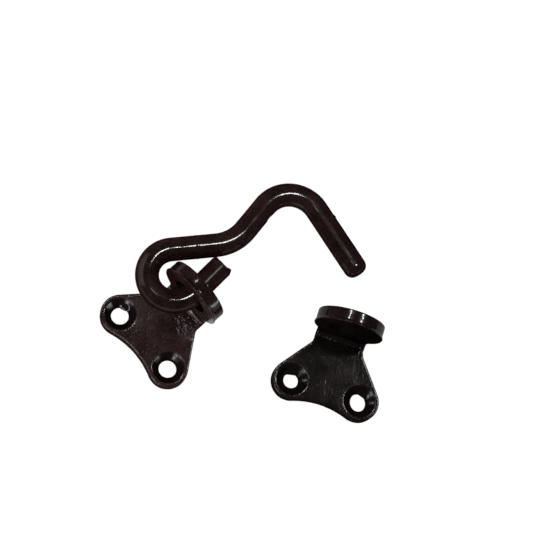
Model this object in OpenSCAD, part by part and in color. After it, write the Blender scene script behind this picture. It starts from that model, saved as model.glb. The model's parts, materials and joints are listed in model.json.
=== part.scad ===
// Hook and eye latch: a bent round rod that swings in the eye of a screwed plate
// and drops its tip into the eye of a second, identical plate.
// Millimetres. The plates lie on z = 0 and the origin is midway between the pivot plate's screws.

/* [Rod] */
// Diameter of the painted round rod
rod_d = 5.3; // [4.6:0.1:5.5]
// Play of the pivot eye's rim inside the loop
loop_play = 0.5; // [0.4:0.1:0.9]
// Arc of the loop, from the shank round to the stub
loop_sweep = 218.5; // [210:0.5:226]
// Straight stub after the loop, which runs through the pivot eye
stub_len = 9.4; // [7:0.2:12]
// Straight shank between the loop and the rise
shank_len = 10.2; // [8:0.2:30]
// Radius of the bend from the shank to the rise, to the middle of the rod
rise_bend_r = 10; // [6:0.5:14]
// Angle of the rise to the shank
rise_turn = 44.5; // [35:0.5:55]
// Straight part of the rise
rise_len = 7.3; // [4:0.1:14]
// Radius of the bend at the peak, to the middle of the rod
peak_bend_r = 7.2; // [5:0.2:9]
// Angle through which the rod turns at the peak
peak_turn = 109; // [100:0.2:118]
// Length of the drop, from the peak bend to the end of the tip
drop_len = 17.6; // [14:0.2:24]
// How much thicker the rod is round a bend than along a straight
bend_swell = 0.04; // [0.02:0.01:0.1]
// Rounding round the end of the tip
tip_round = 1.3; // [0.6:0.1:2]
// Rounding round the sheared end of the stub
stub_round = 0.4; // [0.2:0.1:0.8]

/* [Plates] */
// Thickness of the painted sheet
plate_t = 3.1; // [2.4:0.1:3.2]
// Distance between the two screw holes
screw_pitch = 16; // [14:0.5:20]
// Diameter of a screw hole
screw_d = 4.2; // [3.6:0.1:4.6]
// Diameter of the countersink at the face
sink_d = 7.2; // [7:0.1:8.4]
// Radius of the lobe round a screw hole
lobe_r = 4.5; // [4.4:0.1:5.2]
// Distance of the hollow edge between the lobes from the line of the screws
hollow_y = 3.1; // [2.6:0.1:3.8]
// Width of the neck that is bent up into the eye
neck_w = 11.4; // [9:0.2:11.6]
// Radius of the curve from a side of the plate into the neck
side_curve_r = 3; // [1:0.2:5]
// Radius of the curve from the neck into the round of the eye
eye_curve_r = 1.4; // [0.6:0.1:1.6]
// Inside radius of the bend
bend_r = 1.2; // [0.8:0.1:1.8]
// Distance from the line of the screws to the face of the eye
eye_reach = 12.6; // [12:0.2:16]
// Height of the middle of the eye above the back of the plate
eye_h = 10.7; // [10:0.1:12]
// Outside diameter of the eye
eye_d = 15.3; // [14.8:0.1:15.6]
// Diameter of the hole in the eye
eye_hole_d = 8.8; // [8.6:0.1:9.2]
// Bevel of the edges of the eye
eye_bevel = 0.4; // [0.2:0.05:0.6]

/* [Layout] */
// Turn of the pivot plate, seen from above
pivot_turn = -49.2; // [-60:0.2:-40]
// Angle of the stub to the axis of the pivot eye with the hook at rest
stub_skew = 3.6; // [2:0.2:7]
// Distance from the start of the stub to the middle of the pivot eye
stub_in = 0.6; // [0.4:0.1:1.2]
// Turn of the keeper plate, seen from above
keeper_turn = -19; // [-24:1:-12]
// Swing of the hook from rest to latched
latch_swing = 20; // [18:1:30]
// Distance from the end of the tip to the middle of the keeper eye when latched
latch_in = 3; // [2.6:0.1:5]
// Sideways offset of the latched tip in the keeper eye
latch_offset = 0.3; // [0:0.1:0.6]

/* [Hidden] */
$fn = 64;
// Overlap that carries a cut clear through a face
cut = 1;
// Length by which a straight runs on inside the bend next to it
lap = 0.1;

// Step of length l in direction a, seen from above
function along(a, l) = l * [cos(a), sin(a)];
// Vector v turned by angle a about the vertical
function turned(v, a) = [v.x * cos(a) - v.y * sin(a), v.x * sin(a) + v.y * cos(a)];

// Plate outline: each side runs tangent from its lobe to the curve into the neck
curve_steps = 12;
lobe_x = screw_pitch / 2;
neck_x = neck_w / 2;
neck_y = eye_reach - bend_r;
side_mid = [neck_x + side_curve_r, neck_y];
side_v = side_mid - [lobe_x, 0];
side_a = atan2(side_v.y, side_v.x) - acos((lobe_r + side_curve_r) / norm(side_v));
side_pts = concat(
    [[lobe_x, 0] + along(side_a, lobe_r)],
    [for (i = [0:curve_steps]) side_mid + along(180 + side_a * (1 - i / curve_steps), side_curve_r)]
);
// The hollow edge is an arc tangent to both lobes, centred below them
hollow_gap = lobe_r - hollow_y;
hollow_mid_y = (lobe_x * lobe_x - hollow_gap * hollow_gap) / (2 * hollow_gap);
hollow_r = hollow_mid_y - hollow_y;
hollow_a = atan2(hollow_mid_y, lobe_x);
hollow_steps = 24;
hollow_step_a = (180 - 2 * hollow_a) / hollow_steps;
hollow_pts = [
    for (i = [0:hollow_steps])
        [0, -hollow_mid_y] + along(180 - hollow_a - i * hollow_step_a, hollow_r)
];
sink_depth = (sink_d - screw_d) / 2;
// Top of the bend, where the eye stands straight
bend_top = plate_t + bend_r;
// The web's sides curve out into the round of the eye
eye_r = eye_d / 2;
web_mid_x = neck_x + eye_curve_r;
web_mid_z = eye_h - sqrt(pow(eye_r + eye_curve_r, 2) - pow(web_mid_x, 2));
web_a = atan2(eye_h - web_mid_z, -web_mid_x);
web_pts = [
    for (i = [0:curve_steps])
        [web_mid_x, web_mid_z] + along(180 + (web_a - 180) * i / curve_steps, eye_curve_r)
];

// Path of the rod, seen from above, from the pivot eye out to the tip
eye_mid_y = eye_reach + plate_t / 2;
pivot_eye = along(pivot_turn + 90, eye_mid_y);
stub_dir = pivot_turn + 90 + stub_skew;
stub_start = pivot_eye - along(stub_dir, stub_in);
// The loop closes round the eye's rim: rod and play on one side, half the sheet and the stub's lead across
rim_a = rod_d / 2 + loop_play;
rim_b = plate_t / 2 + stub_in;
loop_r = (eye_r * eye_r + rim_b * rim_b - rim_a * rim_a) / (2 * (eye_r - rim_a));
loop_mid = stub_start - along(stub_dir - 90, loop_r);
shank_dir = stub_dir + 180 - loop_sweep;
shank_start = loop_mid + along(shank_dir + 90, loop_r);
shank_end = shank_start + along(shank_dir, shank_len);
rise_dir = shank_dir + rise_turn;
rise_bend_mid = shank_end + along(shank_dir + 90, rise_bend_r);
rise_start = rise_bend_mid + along(rise_dir - 90, rise_bend_r);
rise_end = rise_start + along(rise_dir, rise_len);
drop_dir = rise_dir - peak_turn;
peak_mid = rise_end + along(rise_dir - 90, peak_bend_r);
drop_start = peak_mid + along(drop_dir + 90, peak_bend_r);
drop_end = drop_start + along(drop_dir, drop_len);

// The keeper stands where the latched tip passes through its eye
latch_arm = drop_end - along(drop_dir, latch_in) - loop_mid;
keeper_eye = loop_mid + turned(latch_arm, -latch_swing) + along(keeper_turn, latch_offset);
keeper_mid = keeper_eye - along(keeper_turn + 90, eye_mid_y);

paint = [0.14, 0.09, 0.08];

// Points mirrored to the other side, in the opposite order
function mirrored(pts) = [for (i = [len(pts) - 1:-1:0]) [-pts[i].x, pts[i].y]];

// Flat blank: two lobes, sides curving into the neck, and the hollow edge between the lobes
module blank() {
    linear_extrude(plate_t) {
        for (s = [-1, 1])
            translate([s * lobe_x, 0])
            circle(lobe_r);
        polygon(concat([[lobe_x, 0]], side_pts, mirrored(side_pts), [[-lobe_x, 0]], hollow_pts));
    }
}

// Countersunk screw hole
module screw_hole() {
    translate([0, 0, -cut])
    cylinder(d = screw_d, h = plate_t + 2 * cut);
    translate([0, 0, plate_t - sink_depth])
    cylinder(d1 = screw_d, d2 = sink_d, h = sink_depth);
}

// Neck bent up through a right angle about a line across the plate
module bend() {
    translate([0, neck_y, bend_top])
    rotate([0, 90, 0])
    rotate_extrude(angle = 90)
    translate([bend_r, -neck_x])
    square([plate_t, neck_w]);
}

// Section of the eye's ring, with all four edges bevelled
module ring_section() {
    r_in = eye_hole_d / 2;
    half = plate_t / 2;
    polygon([
        [r_in, -half + eye_bevel],
        [r_in + eye_bevel, -half],
        [eye_r - eye_bevel, -half],
        [eye_r, -half + eye_bevel],
        [eye_r, half - eye_bevel],
        [eye_r - eye_bevel, half],
        [r_in + eye_bevel, half],
        [r_in, half - eye_bevel]
    ]);
}

// Upright eye: the ring above the bend and the web below it
module eye() {
    intersection() {
        translate([0, eye_mid_y, eye_h])
        rotate([90, 0, 0])
        rotate_extrude()
        ring_section();
        translate([-eye_d, eye_reach - cut, bend_top])
        cube([2 * eye_d, plate_t + 2 * cut, eye_h + eye_d]);
    }
    translate([0, eye_reach + plate_t, 0])
    rotate([90, 0, 0])
    linear_extrude(plate_t)
    polygon(concat([[-neck_x, bend_top], [neck_x, bend_top]], web_pts, mirrored(web_pts)));
}

// One stamped plate, with its screw line on x and its eye towards +y
module eye_plate() {
    difference() {
        union() {
            blank();
            bend();
            eye();
        }
        for (s = [-1, 1])
            translate([s * lobe_x, 0, 0])
            screw_hole();
    }
}

// Straight length of rod from the end of a bend, with its far end rounded
module rod_end(from, dir, len, round_r) {
    flat_r = rod_d / 2 - round_r;
    translate([from.x, from.y, eye_h])
    rotate([0, 90, dir])
    translate([0, 0, -lap])
    rotate_extrude() {
        square([rod_d / 2, lap + len - round_r]);
        square([flat_r, lap + len]);
        translate([flat_r, lap + len - round_r])
        intersection() {
            circle(round_r);
            square(round_r);
        }
    }
}

// Straight length of rod between two bends
module rod(from, dir, len) {
    translate([from.x, from.y, eye_h])
    rotate([0, 90, dir])
    translate([0, 0, -lap])
    cylinder(d = rod_d, h = len + 2 * lap);
}

// Bend of the rod about a point
module rod_bend(mid, r, start, sweep) {
    translate([mid.x, mid.y, eye_h])
    rotate([0, 0, start])
    rotate_extrude(angle = sweep)
    translate([r, 0])
    circle(d = rod_d + bend_swell);
}

// Plate that carries the hook
module pivot_plate() {
    color(paint)
    rotate([0, 0, pivot_turn])
    eye_plate();
}

// Bent rod: stub, loop, shank, rise, peak and drop
module hook() {
    color(paint) {
        rod_end(stub_start, stub_dir, stub_len, stub_round);
        rod_bend(loop_mid, loop_r, shank_dir + 90, loop_sweep);
        rod(shank_start, shank_dir, shank_len);
        rod_bend(rise_bend_mid, rise_bend_r, shank_dir - 90, rise_turn);
        rod(rise_start, rise_dir, rise_len);
        rod_bend(peak_mid, peak_bend_r, drop_dir + 90, peak_turn);
        rod_end(drop_start, drop_dir, drop_len, tip_round);
    }
}

// Plate that takes the tip of the hook
module keeper_plate() {
    color(paint)
    translate([keeper_mid.x, keeper_mid.y, 0])
    rotate([0, 0, keeper_turn])
    eye_plate();
}

pivot_plate();
hook();
keeper_plate();
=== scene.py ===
"""Hook and eye latch: two stamped plates and a bent rod, finished in dark brown stoving enamel."""
import json
import math

import bmesh
import bpy
from mathutils import Matrix, Vector


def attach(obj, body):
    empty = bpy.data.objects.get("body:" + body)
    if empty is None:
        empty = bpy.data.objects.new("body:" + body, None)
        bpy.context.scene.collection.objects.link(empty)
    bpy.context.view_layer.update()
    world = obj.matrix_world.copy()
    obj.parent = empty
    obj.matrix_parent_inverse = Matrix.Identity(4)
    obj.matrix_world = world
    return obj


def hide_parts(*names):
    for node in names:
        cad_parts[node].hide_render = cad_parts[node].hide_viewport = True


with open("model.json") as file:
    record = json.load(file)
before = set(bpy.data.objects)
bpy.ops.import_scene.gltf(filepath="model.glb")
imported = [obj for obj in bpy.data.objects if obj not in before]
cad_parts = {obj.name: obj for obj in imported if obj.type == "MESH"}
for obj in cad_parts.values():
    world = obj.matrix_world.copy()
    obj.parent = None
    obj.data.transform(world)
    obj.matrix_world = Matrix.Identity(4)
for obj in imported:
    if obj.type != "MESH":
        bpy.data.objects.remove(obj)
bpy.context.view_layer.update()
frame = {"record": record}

MM = 0.001

# Sizes of the pieces in millimetres and degrees, as in the part's source
ROD_D = 5.3
LOOP_PLAY = 0.5
LOOP_SWEEP = 218.5
STUB_LEN = 9.4
SHANK_LEN = 10.2
RISE_BEND_R = 10
RISE_TURN = 44.5
RISE_LEN = 7.3
PEAK_BEND_R = 7.2
PEAK_TURN = 109
DROP_LEN = 17.6
PLATE_T = 3.1
SCREW_PITCH = 16
SCREW_D = 4.2
SINK_D = 7.2
LOBE_R = 4.5
HOLLOW_Y = 3.1
NECK_W = 11.4
SIDE_CURVE_R = 3
EYE_CURVE_R = 1.4
BEND_R = 1.2
EYE_REACH = 12.6
EYE_H = 10.7
EYE_R = 15.3 / 2
EYE_HOLE_D = 8.8
PIVOT_TURN = -49.2
STUB_SKEW = 3.6
STUB_IN = 0.6
KEEPER_TURN = -19
ROD_R = ROD_D / 2

# Sizes that the coat of paint changes or adds, in millimetres: the tip is rounder than the bare rod's, and
# the screw holes are narrower all round
TIP_ROUND = 1.9
HOLE_COAT = 0.1
SEAM_RISE = 0.07
SEAM_HALF_W = 0.16
# The press spread the eye's front edge to this share of its size
LIP_SPREAD = 1.03

# Fineness of the meshes: gaps in millimetres, then the sides of round pieces and the steps round curves
MERGE_GAP = 0.002
COAT_VOXEL = 0.15
RING_GAP = 0.5
ROD_SIDES = 48
TOOL_SIDES = 96
LOBE_STEPS = 30
HOLLOW_STEPS = 24
CURVE_STEPS = 8
EYE_STEPS = 72
TIP_STEPS = 5


def along(direction, length):
    """Step of a length in a direction seen from above."""
    a = math.radians(direction)
    return Vector((length * math.cos(a), length * math.sin(a), 0))


# Work in edit mode

def start_clean():
    """Object mode with nothing selected."""
    if bpy.context.mode != "OBJECT":
        bpy.ops.object.mode_set(mode="OBJECT")
    bpy.ops.object.select_all(action="DESELECT")


def take(piece):
    """Selects one piece alone and makes it the active one."""
    start_clean()
    piece.select_set(True)
    bpy.context.view_layer.objects.active = piece


def name_piece(name):
    """Names the object just made, and puts its place into its mesh."""
    piece = bpy.context.object
    piece.name = name
    piece.data.name = name
    bpy.ops.object.transform_apply(location=True, rotation=True, scale=True)
    return piece


def edit(piece, kind):
    """Edit mode on one piece, with vertices, edges or faces to pick."""
    take(piece)
    bpy.ops.object.mode_set(mode="EDIT")
    bpy.ops.mesh.select_mode(type=kind)


def pick(piece, kind, wanted):
    """Selects the vertices, edges or faces that pass a test of place."""
    bpy.ops.mesh.select_all(action="DESELECT")
    mesh = bmesh.from_edit_mesh(piece.data)
    for item in {"VERT": mesh.verts, "EDGE": mesh.edges, "FACE": mesh.faces}[kind]:
        item.select_set(bool(wanted(item)))
    mesh.select_flush_mode()
    bmesh.update_edit_mesh(piece.data)


def draw_to(step):
    """Extrudes what is selected by a step in millimetres."""
    bpy.ops.mesh.extrude_region_move(TRANSFORM_OT_translate={"value": step * MM})


def draw_round(centre, axis, turn, steps):
    """Spins what is selected about an axis by a turn in degrees."""
    # The operator counts its angle the other way
    bpy.ops.mesh.spin(steps=steps, angle=-math.radians(turn), center=centre * MM, axis=axis)


def finish_mesh(piece):
    """Merges doubles, points faces outwards and leaves edit mode."""
    edit(piece, "VERT")
    bpy.ops.mesh.select_all(action="SELECT")
    bpy.ops.mesh.remove_doubles(threshold=MERGE_GAP * MM)
    bpy.ops.mesh.normals_make_consistent(inside=False)
    start_clean()


def use_modifier(piece, kind, **settings):
    """Adds a modifier with its settings and applies it."""
    take(piece)
    modifier = piece.modifiers.new(kind.title(), kind)
    for key, value in settings.items():
        setattr(modifier, key, value)
    bpy.ops.object.modifier_apply(modifier=modifier.name)


def roughen(piece, name, grain_mm, depth_mm, where=""):
    """Lumps of a grain and a depth over a piece, or over a vertex group of it."""
    clouds = bpy.data.textures.new(name, "CLOUDS")
    clouds.noise_scale = grain_mm * MM
    use_modifier(piece, "DISPLACE", texture=clouds, texture_coords="LOCAL", strength=depth_mm * MM,
                 mid_level=0.5, vertex_group=where)


def paint(piece, slot, wanted):
    """Gives the faces that pass a test of place the material in a slot."""
    edit(piece, "FACE")
    pick(piece, "FACE", wanted)
    piece.active_material_index = slot
    bpy.ops.object.material_slot_assign()
    start_clean()


def near(place, reach):
    """A test for vertices within a reach of a place, in millimetres."""
    return lambda v: (v.co - place * MM).length < reach * MM


def push(piece, place, reach, step):
    """Moves the surface at a place by a step, fading out over a reach."""
    edit(piece, "VERT")
    pick(piece, "VERT", near(place, reach / 3))
    bpy.ops.transform.translate(value=step * MM, use_proportional_edit=True,
                                proportional_edit_falloff="SMOOTH", proportional_size=reach * MM)
    start_clean()


Z_AXIS = Vector((0, 0, 1))
X_AXIS = Vector((1, 0, 0))
Y_AXIS = Vector((0, 1, 0))


# Stamped plate, modelled once in its own place: screws on the x axis, eye towards +y

LOBE_X = SCREW_PITCH / 2
NECK_X = NECK_W / 2
NECK_Y = EYE_REACH - BEND_R
BEND_TOP = PLATE_T + BEND_R
LOBE_MID = Vector((LOBE_X, 0, 0))
SIDE_MID = Vector((NECK_X + SIDE_CURVE_R, NECK_Y, 0))
SIDE_WAY = SIDE_MID - LOBE_MID
SIDE_LEAN = math.acos((LOBE_R + SIDE_CURVE_R) / SIDE_WAY.length)
SIDE_A = math.degrees(math.atan2(SIDE_WAY.y, SIDE_WAY.x) - SIDE_LEAN)
HOLLOW_GAP = LOBE_R - HOLLOW_Y
HOLLOW_MID = Vector((0, -(LOBE_X ** 2 - HOLLOW_GAP ** 2) / (2 * HOLLOW_GAP), 0))
HOLLOW_A = math.degrees(math.atan2(-HOLLOW_MID.y, LOBE_X))
WEB_MID_X = NECK_X + EYE_CURVE_R
WEB_MID_Z = EYE_H - math.sqrt((EYE_R + EYE_CURVE_R) ** 2 - WEB_MID_X ** 2)
WEB_A = math.degrees(math.atan2(EYE_H - WEB_MID_Z, -WEB_MID_X))
EYE_MID = Vector((0, EYE_REACH, EYE_H))
PAINTED_R = SCREW_D / 2 - HOLE_COAT
SINK_DEPTH = SINK_D / 2 - PAINTED_R
FLIP_X = Vector((-1, 1, 1))
# Run of paint on the sheet beside the bend: its middle, half its width, and how much shorter it is along y
RUN_MID = Vector((NECK_X - 1.5, NECK_Y - 2, PLATE_T))
RUN_HALF_W = 3.4
RUN_FLATTER = 1.3
SHEET_SLOT, HOLE_SLOT, FRONT_SLOT, SINK_SLOT, RIM_SLOT = range(5)


def first_point(name, place):
    """A new piece of one vertex, left in edit mode with that vertex selected."""
    start_clean()
    bpy.ops.mesh.primitive_plane_add(size=MM, location=place * MM)
    piece = name_piece(name)
    edit(piece, "VERT")
    bpy.ops.mesh.select_all(action="SELECT")
    bpy.ops.mesh.merge(type="CENTER")
    return piece


def fill_and_thicken(step):
    """Closes the drawn outline, fills it and extrudes the face by a step."""
    bpy.ops.mesh.select_all(action="SELECT")
    bpy.ops.mesh.remove_doubles(threshold=MERGE_GAP * MM)
    bpy.ops.mesh.edge_face_add()
    bpy.ops.mesh.select_mode(type="FACE")
    draw_to(step)


def stamp_blank():
    """Flat blank with its neck bent up, from an outline drawn round lobes, sides and hollow edge."""
    corner = LOBE_MID + along(HOLLOW_A + 180, LOBE_R)
    piece = first_point("plate_blank", corner)
    side_line = SIDE_MID + along(SIDE_A + 180, SIDE_CURVE_R) - LOBE_MID - along(SIDE_A, LOBE_R)
    draw_round(LOBE_MID, Z_AXIS, SIDE_A + 180 - HOLLOW_A, LOBE_STEPS)
    draw_to(side_line)
    draw_round(SIDE_MID, Z_AXIS, -SIDE_A, CURVE_STEPS)
    draw_to(Vector((-NECK_W, 0, 0)))
    draw_round(SIDE_MID * FLIP_X, Z_AXIS, -SIDE_A, CURVE_STEPS)
    draw_to(Vector((side_line.x, -side_line.y, 0)))
    draw_round(LOBE_MID * FLIP_X, Z_AXIS, SIDE_A + 180 - HOLLOW_A, LOBE_STEPS)
    draw_round(HOLLOW_MID, Z_AXIS, 2 * HOLLOW_A - 180, HOLLOW_STEPS)
    fill_and_thicken(Vector((0, 0, PLATE_T)))
    pick(piece, "FACE", at_neck_end)
    draw_round(Vector((0, NECK_Y, BEND_TOP)), X_AXIS, 90, CURVE_STEPS)
    bpy.ops.mesh.delete(type="ONLY_FACE")
    finish_mesh(piece)
    return piece


def at_neck_end(face):
    """True for the blank's end face, where the bend begins."""
    return abs(face.normal.y) > 0.99 and face.calc_center_median().y > (NECK_Y - 0.01) * MM


def at_eye_foot(face):
    """True for the face under the eye's web, where the bend ends."""
    return abs(face.normal.z) > 0.99 and face.calc_center_median().z < (BEND_TOP + 0.01) * MM


def stand_eye():
    """Upright eye with the web below it, open where it meets the bend."""
    piece = first_point("plate_eye", Vector((NECK_X, EYE_REACH, BEND_TOP)))
    web_mid = Vector((WEB_MID_X, EYE_REACH, WEB_MID_Z))
    draw_to(Vector((0, 0, WEB_MID_Z - BEND_TOP)))
    draw_round(web_mid, Y_AXIS, 180 - WEB_A, CURVE_STEPS)
    draw_round(EYE_MID, Y_AXIS, 2 * WEB_A - 540, EYE_STEPS)
    draw_round(web_mid * FLIP_X, Y_AXIS, 180 - WEB_A, CURVE_STEPS)
    draw_to(Vector((0, 0, BEND_TOP - WEB_MID_Z)))
    draw_to(Vector((NECK_W, 0, 0)))
    fill_and_thicken(Vector((0, PLATE_T, 0)))
    pick(piece, "FACE", at_eye_foot)
    bpy.ops.mesh.delete(type="ONLY_FACE")
    finish_mesh(piece)
    return piece


def cutter(name, radius, top_radius, depth, place, lean):
    """Round tool for a hole, standing on its place and leaning about the x axis."""
    start_clean()
    bpy.ops.mesh.primitive_cone_add(vertices=TOOL_SIDES, radius1=radius * MM, radius2=top_radius * MM,
                                    depth=depth * MM, location=place * MM,
                                    rotation=(math.radians(lean), 0, 0))
    return name_piece(name)


def cut_holes(plate):
    """Cuts the eye and the two countersunk screw holes."""
    hole_r = EYE_HOLE_D / 2
    past = 1.0
    through = PLATE_T + 2 * past
    tools = [cutter("eye_tool", hole_r, hole_r, through, EYE_MID + Y_AXIS * PLATE_T / 2, 90)]
    for side in (-1, 1):
        screw = Vector((side * LOBE_X, 0, 0))
        screw_mid = screw + Z_AXIS * PLATE_T / 2
        tools.append(cutter("screw_tool", PAINTED_R, PAINTED_R, through, screw_mid, 0))
        # The sink runs past the face at the same slope
        sink_mid = screw + Z_AXIS * (PLATE_T - SINK_DEPTH + (SINK_DEPTH + past) / 2)
        tools.append(cutter("sink_tool", PAINTED_R, SINK_D / 2 + past, SINK_DEPTH + past, sink_mid, 0))
    for tool in tools:
        use_modifier(plate, "BOOLEAN", operation="DIFFERENCE", solver="EXACT", object=tool)
        bpy.data.objects.remove(tool, do_unlink=True)


def make_plate():
    """One stamped plate: blank and eye joined, holed, then softened all over as by a thick coat."""
    plate = stamp_blank()
    eye = stand_eye()
    start_clean()
    eye.select_set(True)
    plate.select_set(True)
    bpy.context.view_layer.objects.active = plate
    bpy.ops.object.join()
    finish_mesh(plate)
    cut_holes(plate)
    use_modifier(plate, "REMESH", mode="VOXEL", voxel_size=COAT_VOXEL * MM)
    raise_lip(plate)
    use_modifier(plate, "SMOOTH", factor=0.5, iterations=8)
    mark_area(plate, "crease", in_crease)
    roughen(plate, "sheet_lumps", grain_mm=3, depth_mm=0.04)
    roughen(plate, "sheet_grain", grain_mm=0.8, depth_mm=0.02)
    roughen(plate, "crease_wrinkles", grain_mm=0.7, depth_mm=0.15, where="crease")
    # In the order of the slots
    for enamel in (pivot_enamel, hole_shade_enamel, front_sheen_enamel, sink_shade_enamel, rim_shade_enamel):
        plate.data.materials.append(enamel)
    paint(plate, HOLE_SLOT, in_a_hole)
    paint(plate, FRONT_SLOT, on_eye_front)
    paint(plate, SINK_SLOT, in_a_sink)
    paint(plate, RIM_SLOT, on_eye_rim)
    return plate


def raise_lip(plate):
    """Spreads the eye's front edge a little, as the press left it."""
    edit(plate, "VERT")
    pick(plate, "VERT", on_front_edge)
    bpy.ops.transform.resize(value=(LIP_SPREAD, 1, LIP_SPREAD), center_override=EYE_MID * MM)
    start_clean()


def by_rim(way):
    """True for a place, seen from the eye's middle, within 0.5 mm of its round outside and above its web."""
    return way.z > BEND_TOP + 1 - EYE_H and math.hypot(way.x, way.z) > EYE_R - 0.5


def on_front_edge(vert):
    """True for vertices on the front edge of the eye's rim."""
    way = vert.co / MM - EYE_MID
    return way.y < 0.5 and by_rim(way)


def mark_area(plate, name, wanted):
    """Puts the vertices that pass a test of place into a vertex group."""
    edit(plate, "VERT")
    pick(plate, "VERT", wanted)
    bpy.ops.object.vertex_group_assign_new()
    start_clean()
    plate.vertex_groups[-1].name = name


def in_crease(vert):
    """True for vertices on the inside of the bend."""
    place = vert.co / MM
    return NECK_Y - BEND_R < place.y < EYE_REACH + 0.2 and PLATE_T - 0.2 < place.z < BEND_TOP + 0.8


def in_run(vert):
    """True for vertices on the sheet beside the bend, where the paint gathered on one side."""
    way = vert.co / MM - RUN_MID
    return math.hypot(way.x, way.y * RUN_FLATTER) < RUN_HALF_W and way.z > -0.2


def on_eye_front(face):
    """True for faces on the eye's flat front, on the side that stands clear of the hook."""
    place = face.calc_center_median() / MM
    return face.normal.y < -0.8 and place.z > BEND_TOP and place.x > 0


def on_eye_rim(face):
    """True for faces on the eye's round outside."""
    return abs(face.normal.y) < 0.8 and by_rim(face.calc_center_median() / MM - EYE_MID)


def in_a_sink(face):
    """True for faces on the walls of the countersunk screw holes."""
    place = face.calc_center_median() / MM
    off = math.hypot(abs(place.x) - LOBE_X, place.y)
    return off < SINK_D / 2 - 0.1 and face.normal.z < 0.93 and 0.1 < place.z < PLATE_T


def in_a_hole(face):
    """True for faces on the wall of the eye's hole."""
    way = face.calc_center_median() / MM - EYE_MID
    return abs(face.normal.y) < 0.6 and math.hypot(way.x, way.z) < EYE_HOLE_D / 2 + 0.5


# Bent rod: drawn from the end of the stub, round the loop and out to the tip

PIVOT_EYE = along(PIVOT_TURN + 90, EYE_REACH + PLATE_T / 2)
STUB_DIR = PIVOT_TURN + 90 + STUB_SKEW
# The loop passes round the far corner of the eye's rim with the play between them
RIM_CLEAR = ROD_R + LOOP_PLAY
RIM_ALONG = PLATE_T / 2 + STUB_IN
LOOP_R = (EYE_R ** 2 + RIM_ALONG ** 2 - RIM_CLEAR ** 2) / (2 * (EYE_R - RIM_CLEAR))
LEVEL = Z_AXIS * EYE_H
STUB_START = PIVOT_EYE - along(STUB_DIR, STUB_IN) + LEVEL
LOOP_MID = STUB_START - along(STUB_DIR - 90, LOOP_R)
SHANK_DIR = STUB_DIR + 180 - LOOP_SWEEP
SHANK_END = LOOP_MID + along(SHANK_DIR + 90, LOOP_R) + along(SHANK_DIR, SHANK_LEN)
RISE_DIR = SHANK_DIR + RISE_TURN
RISE_BEND_MID = SHANK_END + along(SHANK_DIR + 90, RISE_BEND_R)
RISE_END = RISE_BEND_MID + along(RISE_DIR - 90, RISE_BEND_R) + along(RISE_DIR, RISE_LEN)
PEAK_MID = RISE_END + along(RISE_DIR - 90, PEAK_BEND_R)
DROP_DIR = RISE_DIR - PEAK_TURN
DROP_END = PEAK_MID + along(DROP_DIR + 90, PEAK_BEND_R) + along(DROP_DIR, DROP_LEN)
STUB_END = STUB_START + along(STUB_DIR, STUB_LEN)
# Seam across the loop, as a direction from the loop's middle
LOOP_SEAM_A = 262
# The coat is thin on the stub from this far along it, and on the drop up to this far from the tip
THIN_FROM = 3
TIP_COATED = 4
THIN_SLOT = 1


def draw_straight(direction, length):
    """Extrudes the rod's end along a straight, ring by ring."""
    rings = round(length / RING_GAP)
    for _ in range(rings):
        draw_to(along(direction, length / rings))


def draw_bend(centre, radius, turn):
    """Spins the rod's end round a bend."""
    draw_round(centre, Z_AXIS, turn, round(radius * math.radians(abs(turn)) / RING_GAP))


def make_hook():
    """The rod from its sheared stub to its rounded tip."""
    start_clean()
    bpy.ops.mesh.primitive_circle_add(vertices=ROD_SIDES, radius=ROD_R * MM, fill_type="NGON",
                                      location=STUB_END * MM,
                                      rotation=(0, math.pi / 2, math.radians(STUB_DIR)))
    hook = name_piece("rod_hook")
    edit(hook, "FACE")
    bpy.ops.mesh.select_all(action="SELECT")
    draw_straight(STUB_DIR + 180, STUB_LEN)
    draw_bend(LOOP_MID, LOOP_R, -LOOP_SWEEP)
    draw_straight(SHANK_DIR, SHANK_LEN)
    draw_bend(RISE_BEND_MID, RISE_BEND_R, RISE_TURN)
    draw_straight(RISE_DIR, RISE_LEN)
    draw_bend(PEAK_MID, PEAK_BEND_R, -PEAK_TURN)
    draw_straight(DROP_DIR, DROP_LEN - TIP_ROUND)
    round_tip()
    finish_mesh(hook)
    use_modifier(hook, "SUBSURF", levels=1, render_levels=1)
    roughen(hook, "rod_lumps", grain_mm=6, depth_mm=0.07)
    roughen(hook, "rod_grain", grain_mm=1.2, depth_mm=0.008)
    mark_hook(hook)
    hook.data.materials.append(rod_enamel)
    hook.data.materials.append(thin_enamel)
    paint(hook, THIN_SLOT, on_thin_coat)
    return hook


def beside(place, start, direction, first, last):
    """True for a place on a straight of the rod, between two distances from the straight's start."""
    way = place - start
    run = way.dot(along(direction, 1))
    return first < run < last and (way - along(direction, run)).length < ROD_R + 0.6


def on_thin_coat(face):
    """True for faces on the stub, and on the drop short of its tip, where the coat is thin and duller."""
    place = face.calc_center_median() / MM
    on_stub = beside(place, STUB_START, STUB_DIR, THIN_FROM, STUB_LEN + 1)
    return on_stub or beside(place, DROP_END, DROP_DIR, 1 - DROP_LEN, -TIP_COATED)


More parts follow.
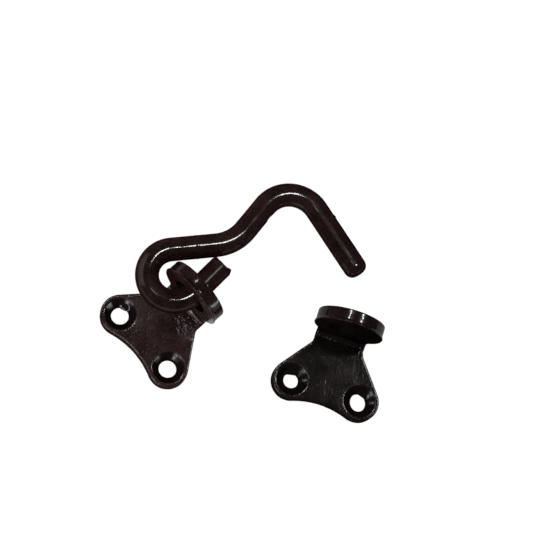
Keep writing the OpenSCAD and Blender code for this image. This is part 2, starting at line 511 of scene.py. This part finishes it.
def mark_hook(hook):
    """The hook's small marks: a burr where the stub was sheared, a seam of paint across the shank and one
    across the loop, a nick under the rise and a pimple on the drop."""
    stub_side = along(STUB_DIR - 90, ROD_R)
    nick = RISE_END + along(RISE_DIR, -1.5) + along(RISE_DIR - 90, ROD_R)
    pimple = DROP_END - along(DROP_DIR, DROP_LEN * 0.8) + along(DROP_DIR + 90, ROD_R)
    push(hook, STUB_END + stub_side * 0.8 + Z_AXIS * 1.2, 0.9, along(STUB_DIR, 0.5))
    push(hook, STUB_END + stub_side * 0.1 + Z_AXIS * 2, 0.8, along(STUB_DIR, -0.1))
    push(hook, STUB_END - stub_side * 0.8 + Z_AXIS, 0.9, along(STUB_DIR, 0.3))
    push(hook, nick, 1.0, along(RISE_DIR + 90, 0.35))
    push(hook, pimple, 0.7, along(DROP_DIR + 90, 0.25))
    raise_seam(hook, SHANK_END - along(SHANK_DIR, SHANK_LEN * 0.42), SHANK_DIR)
    raise_seam(hook, LOOP_MID + along(LOOP_SEAM_A, LOOP_R), LOOP_SEAM_A + 90)


def raise_seam(hook, place, direction):
    """A fine raised ring across the rod at a place."""
    way = along(direction, 1)
    edit(hook, "VERT")
    close = near(place, ROD_D)
    pick(hook, "VERT", lambda v: abs((v.co / MM - place).dot(way)) < SEAM_HALF_W and close(v))
    bpy.ops.transform.shrink_fatten(value=SEAM_RISE * MM)
    start_clean()


def round_tip():
    """Rounds the selected end face over, ring by ring, and insets the flat that is left."""
    flat = ROD_R - TIP_ROUND
    for ring in range(1, TIP_STEPS + 1):
        a0, a1 = (math.pi / 2 * k / TIP_STEPS for k in (ring - 1, ring))
        draw_to(along(DROP_DIR, TIP_ROUND * (math.sin(a1) - math.sin(a0))))
        size = (flat + TIP_ROUND * math.cos(a1)) / (flat + TIP_ROUND * math.cos(a0))
        bpy.ops.transform.resize(value=(size, size, size))
    bpy.ops.mesh.inset(thickness=0.5 * MM)


# Enamel

# Sizes in the paint in millimetres: patches of thicker and thinner coat, light flecks and baked-in dust,
# which is drawn coarser than life so that it shows
MOTTLE_MM = 5
FLECK_MM = 0.5
GRIT_MM = 0.4
# Facing values between which the gloss fades
GLOSS_FADE = (0.12, 0.42)


def linear(hex_colour):
    """sRGB hex as linear red, green, blue and alpha."""
    parts = [int(hex_colour[i:i + 2], 16) / 255 for i in (1, 3, 5)]
    return tuple(c / 12.92 if c <= 0.04045 else ((c + 0.055) / 1.055) ** 2.4 for c in parts) + (1.0,)


def add_node(tree, kind, settings=None, **links):
    """Adds a node with its settings; a link is a socket, and a plain value is set on the input."""
    node = tree.nodes.new(kind)
    for key, value in (settings or {}).items():
        setattr(node, key, value)
    for key, value in links.items():
        socket = node.inputs[int(key[1:]) if key[0] == "i" and key[1:].isdigit() else key.replace("_", " ")]
        if isinstance(value, bpy.types.NodeSocket):
            tree.links.new(value, socket)
        else:
            socket.default_value = value
    return node


def blank_material(name):
    """A node material with nothing in its tree."""
    material = bpy.data.materials.new(name)
    material.use_nodes = True
    material.node_tree.nodes.clear()
    return material, material.node_tree


def stoving_enamel(name, browns, roughness, gloss, peel_mm, peel_depth_mm, grit_depth_mm, skin=0.0):
    """Thick dark brown stoving enamel, dipped and baked: near black with a red-brown cast, glossy, a little
    uneven in colour, rippled by the orange peel that baking leaves and gritty with baked-in dust. Browns run
    from dark to light, roughness from least to most, gloss from facing to turned away; skin is the share of
    a smooth top film."""
    material, tree = blank_material(name)
    place = add_node(tree, "ShaderNodeTexCoord").outputs["Object"]
    mottle = add_node(tree, "ShaderNodeTexNoise", Vector=place, Scale=1 / (MOTTLE_MM * MM),
                      Detail=4.0, Roughness=0.6)
    peel = add_node(tree, "ShaderNodeTexNoise", Vector=place, Scale=1 / (peel_mm * MM),
                    Detail=2.0, Roughness=0.5)
    grit = add_node(tree, "ShaderNodeTexNoise", Vector=place, Scale=1 / (GRIT_MM * MM),
                    Detail=2.0, Roughness=0.7)
    fleck = add_node(tree, "ShaderNodeTexNoise", Vector=place, Scale=1 / (FLECK_MM * MM),
                     Detail=3.0, Roughness=0.6)
    # The flecks lighten or darken the patches evenly
    uneven = add_node(tree, "ShaderNodeMath", {"operation": "SUBTRACT"}, i0=fleck.outputs["Fac"], i1=0.5)
    cover = add_node(tree, "ShaderNodeMath", {"operation": "ADD"},
                     i0=uneven.outputs["Value"], i1=mottle.outputs["Fac"])
    brown = add_node(tree, "ShaderNodeValToRGB", Fac=cover.outputs["Value"])
    for stop, share, colour in zip(brown.color_ramp.elements, (0.25, 0.78), browns):
        stop.position = share
        stop.color = linear(colour)
    rough = add_node(tree, "ShaderNodeMapRange", i0=mottle.outputs["Fac"], i1=0.3, i2=0.7,
                     i3=roughness[0], i4=roughness[1])
    ripple = add_node(tree, "ShaderNodeBump", Height=peel.outputs["Fac"],
                      Strength=1.0, Distance=peel_depth_mm * MM)
    specks = add_node(tree, "ShaderNodeBump", Height=grit.outputs["Fac"], Normal=ripple.outputs["Normal"],
                      Strength=1.0, Distance=grit_depth_mm * MM)
    # The gloss fades where the surface turns away from the viewer, unless it is the same all over
    shine = gloss[0]
    if gloss[0] != gloss[1]:
        turned = add_node(tree, "ShaderNodeLayerWeight", Blend=0.5)
        fade = add_node(tree, "ShaderNodeMapRange", i0=turned.outputs["Facing"],
                        i1=GLOSS_FADE[0], i2=GLOSS_FADE[1], i3=gloss[0], i4=gloss[1])
        shine = fade.outputs["Result"]
    enamel = add_node(tree, "ShaderNodeBsdfPrincipled", Base_Color=brown.outputs["Color"],
                      Specular_IOR_Level=shine,
                      Roughness=rough.outputs["Result"], Normal=specks.outputs["Normal"], IOR=1.4,
                      Coat_Weight=skin, Coat_Roughness=0.07)
    add_node(tree, "ShaderNodeOutputMaterial", Surface=enamel.outputs["BSDF"])
    return material


# Coats, from the glossy rod to the matt wall of the eye's hole; the keeper's sheet, the rims, the sinks and
# the hole's wall are drawn darker than the pivot's sheet as painted shade, and one side of the pivot's eye
# front lighter as painted sheen

ROD_BROWNS = ("#140a09", "#3a2523")
rod_enamel = stoving_enamel("stoving_enamel_on_rod", ROD_BROWNS, (0.08, 0.17), (0.5, 0.0),
                            1.1, 0.012, 0.004)
thin_enamel = stoving_enamel("stoving_enamel_thin_on_rod", ROD_BROWNS, (0.16, 0.26), (0.16, 0.0),
                             1.1, 0.012, 0.006)
pivot_enamel = stoving_enamel("stoving_enamel_on_pivot", ("#160b0a", "#33201f"), (0.1, 0.2), (0.5, 0.0),
                              0.7, 0.008, 0.03)
# The keeper's sheet is the same enamel as the pivot's, drawn darker: painted shade
keeper_shade_enamel = stoving_enamel("stoving_enamel_on_keeper_painted_shade", ("#090606", "#1d1313"), (0.1, 0.2), (0.5, 0.0),
                               0.7, 0.02, 0.042)
# The lighter browns on one side of the pivot's eye front are painted sheen; its gloss stays the same all over
front_sheen_enamel = stoving_enamel("stoving_enamel_on_eye_front_painted_sheen", ("#1a0d0c", "#3c2826"), (0.16, 0.26), (0.5, 0.5),
                              0.7, 0.01, 0.006)
# The eyes' rims are drawn darker than the pivot's sheet, painted shade, under a thin top film
rim_shade_enamel = stoving_enamel("stoving_enamel_on_rims_painted_shade", ("#110808", "#281717"), (0.2, 0.28), (0.08, 0.0),
                            1.1, 0.008, 0.008, 0.3)
# The countersinks are drawn near black: painted shade in the recesses
sink_shade_enamel = stoving_enamel("stoving_enamel_in_sinks_painted_shade", ("#090505", "#170d0d"), (0.12, 0.22), (0.5, 0.0),
                             0.7, 0.012, 0.016)
# The wall of the eye's hole is drawn near black and matt: painted shade inside the hole, also put on the
# marked side of the keeper's eye front
hole_shade_enamel = stoving_enamel("stoving_enamel_in_eye_painted_shade", ("#070404", "#100a09"), (0.5, 0.7), (0.03, 0.0),
                             0.7, 0.02, 0.012)


# Pieces

def hand_over(piece, body, node):
    """Shades a finished piece smooth, gives it its body and hides the solid it stands for."""
    take(piece)
    bpy.ops.object.shade_smooth()
    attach(piece, body)
    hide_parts(node)


def set_plate(piece, name, place, turn):
    """Names a plate and turns and moves it to its place, kept in its mesh."""
    take(piece)
    piece.location = place
    piece.rotation_euler = (0, 0, math.radians(turn))
    name_piece(name)


def narrow_hole(plate, place, wide, deep):
    """Draws the wall of a screw hole in, to shares of its size along x and along y."""
    reach = PAINTED_R + 0.6
    top = PLATE_T - SINK_DEPTH + 0.3
    edit(plate, "VERT")
    pick(plate, "VERT", lambda v: (v.co.xy / MM - place.xy).length < reach and v.co.z < top * MM)
    bpy.ops.transform.resize(value=(wide, deep, 1), center_override=place * MM)
    start_clean()


def paint_in_holes():
    """Runs of paint that narrowed three of the screw holes unevenly."""
    mouth = Z_AXIS * (PLATE_T - SINK_DEPTH)
    keeper_mid = Vector(keeper_screws["pos_m"]) / MM
    keeper_left = keeper_mid - along(KEEPER_TURN, LOBE_X)
    keeper_right = keeper_mid + along(KEEPER_TURN, LOBE_X)
    pivot_left = along(PIVOT_TURN + 180, LOBE_X)
    narrow_hole(keeper, keeper_left, 0.87, 0.87)
    narrow_hole(keeper, keeper_right, 0.92, 1.0)
    push(keeper, keeper_left + mouth + Vector((0.2, 1.6, 0)), 1.3, Vector((0, -0.45, 0)))
    push(keeper, keeper_right + mouth + Vector((0.9, 1.5, 0)), 1.1, Vector((-0.25, -0.3, 0)))
    push(pivot, pivot_left + mouth + Vector((0.9, 1.7, 0)), 1.1, Vector((-0.35, -0.4, 0)))


keeper_screws = next(m for m in frame["record"]["mounts"] if m["name"] == "keeper_screws")
pivot = make_plate()
keeper = pivot.copy()
keeper.data = pivot.data.copy()
# The keeper's sheet is drawn darker than the pivot's, as painted shade, and the marked side of its eye's
# front takes the hole's near-black coat, painted shade too
keeper.data.materials[SHEET_SLOT] = keeper_shade_enamel
keeper.data.materials[FRONT_SLOT] = hole_shade_enamel
bpy.context.scene.collection.objects.link(keeper)
mark_area(pivot, "run", in_run)
roughen(pivot, "run_wrinkles", grain_mm=0.55, depth_mm=0.24, where="run")
set_plate(pivot, "pivot_eye_plate", Vector((0, 0, 0)), PIVOT_TURN)
set_plate(keeper, "keeper_eye_plate", Vector(keeper_screws["pos_m"]), KEEPER_TURN)
paint_in_holes()
hook = make_hook()
hand_over(pivot, "plates", "pivot_plate")
hand_over(keeper, "plates", "keeper_plate")
hand_over(hook, "hook", "hook")


# Stage, light and camera; the floor and the lamps are in metres

FLOOR_SIZE = 4
LAMP_DISTANCE = 0.5
# Share of plain white in what the camera and reflections see of the floor; the rest keeps the shadow
FLOOR_WHITE = 0.9
ROOM_LEVEL = 0.08
SENSOR_MM = 36
IMAGE_PX = 533
PX_PER_MM = 4.355


def make_floor():
    """White floor that shows the camera white and keeps a soft shadow."""
    start_clean()
    bpy.ops.mesh.primitive_plane_add(size=FLOOR_SIZE)
    floor = name_piece("floor")
    material, tree = blank_material("white_floor")
    rays = add_node(tree, "ShaderNodeLightPath")
    seen = add_node(tree, "ShaderNodeMath", {"operation": "MAXIMUM"},
                    i0=rays.outputs["Is Camera Ray"], i1=rays.outputs["Is Glossy Ray"])
    seen = add_node(tree, "ShaderNodeMath", {"operation": "MAXIMUM"},
                    i0=seen.outputs["Value"], i1=rays.outputs["Is Transmission Ray"])
    matt = add_node(tree, "ShaderNodeBsdfDiffuse", Color=linear("#f4f4f4"))
    white = add_node(tree, "ShaderNodeEmission", Color=linear("#ffffff"), Strength=1.0)
    share = add_node(tree, "ShaderNodeMath", {"operation": "MULTIPLY"},
                     i0=seen.outputs["Value"], i1=FLOOR_WHITE)
    mix = add_node(tree, "ShaderNodeMixShader", Fac=share.outputs["Value"], i1=matt.outputs["BSDF"],
                   i2=white.outputs["Emission"])
    add_node(tree, "ShaderNodeOutputMaterial", Surface=mix.outputs["Shader"])
    floor.data.materials.append(material)
    return floor


def add_lamp(name, direction, wide, deep, level, only=None):
    """A soft box hung in a direction from the middle of the object and facing it. Its level is the share of
    plain full light that it gives; where pieces are named, it lights only those and only they shade it."""
    start_clean()
    middle = Vector((22, 8, 8)) * MM
    way = Vector(direction).normalized()
    bpy.ops.object.light_add(type="AREA", location=middle + way * LAMP_DISTANCE)
    lamp = bpy.context.object
    lamp.name = name
    lamp.rotation_euler = way.to_track_quat("Z", "Y").to_euler()
    lamp.data.shape = "RECTANGLE"
    lamp.data.size = wide
    lamp.data.size_y = deep
    lamp.data.energy = level * (math.pi * LAMP_DISTANCE) ** 2
    if only:
        group = bpy.data.collections.new(name + "_lights")
        for piece in only:
            group.objects.link(piece)
        lamp.light_linking.receiver_collection = group
        lamp.light_linking.blocker_collection = group


def light_studio():
    """Dim white room with soft boxes above and low round the object, most of them small."""
    world = bpy.context.scene.world or bpy.data.worlds.new("studio")
    bpy.context.scene.world = world
    world.use_nodes = True
    tree = world.node_tree
    tree.nodes.clear()
    room = add_node(tree, "ShaderNodeBackground", Color=linear("#ffffff"), Strength=ROOM_LEVEL)
    add_node(tree, "ShaderNodeOutputWorld", Surface=room.outputs["Background"])
    plates = [pivot, keeper, floor]
    rod = [hook, floor]
    add_lamp("soft_box_back", (-0.1, 0.36, 0.93), 0.05, 0.05, 0.26, [keeper, floor])
    add_lamp("soft_box_far", (-0.5, 0.55, 0.67), 0.06, 0.06, 0.25, [pivot, floor])
    add_lamp("soft_box_over", (-0.1, 0.36, 0.93), 0.04, 0.04, 0.07, [pivot, floor])
    add_lamp("soft_box_right", (0.52, 0.13, 0.84), 0.05, 0.05, 0.28, plates)
    add_lamp("soft_box_left", (-0.75, -0.5, 0.42), 0.15, 0.15, 0.24, plates)
    add_lamp("soft_box_top", (-0.24, -0.1, 0.965), 0.1, 0.1, 0.12, plates)
    add_lamp("soft_box_front", (-0.55, -0.78, 0.28), 0.12, 0.08, 0.2, [pivot, floor])
    add_lamp("soft_box_spot", (-0.96, 0.23, 0.15), 0.08, 0.08, 0.06, [keeper, floor])
    add_lamp("soft_box_side", (0.87, -0.49, 0.12), 0.25, 0.1, 0.3, [pivot, floor])
    add_lamp("soft_box_low", (-0.9, 0.35, 0.3), 0.5, 0.5, 0.34, rod)
    add_lamp("strip_over_rod", (0.18, 0.07, 0.98), 0.045, 0.09, 0.36, rod)
    add_lamp("strip_over_tip", (-0.2, 0.02, 0.98), 0.03, 0.04, 0.02, rod)


def set_camera():
    """Camera of the photograph: from above and a little to the lower left."""
    lean, towards, roll = math.radians(16.6), math.radians(237.9), math.radians(-2.0)
    distance = 350
    aim = Vector((28.52, 17.85, 0))
    back = Vector((math.sin(lean) * math.cos(towards), math.sin(lean) * math.sin(towards), math.cos(lean)))
    right = Matrix.Rotation(roll, 3, back) @ Y_AXIS.cross(back).normalized()
    up = back.cross(right)
    start_clean()
    bpy.ops.object.camera_add(location=(aim + back * distance) * MM,
                              rotation=Matrix((right, up, back)).transposed().to_euler())
    camera = bpy.context.object
    camera.data.sensor_width = SENSOR_MM
    # This many image pixels to a millimetre at the aim
    camera.data.lens = SENSOR_MM * PX_PER_MM * distance / IMAGE_PX
    camera.data.clip_start = 0.01
    bpy.context.scene.camera = camera


floor = make_floor()
light_studio()
set_camera()
bpy.context.scene.view_settings.view_transform = "Standard"
start_clean()
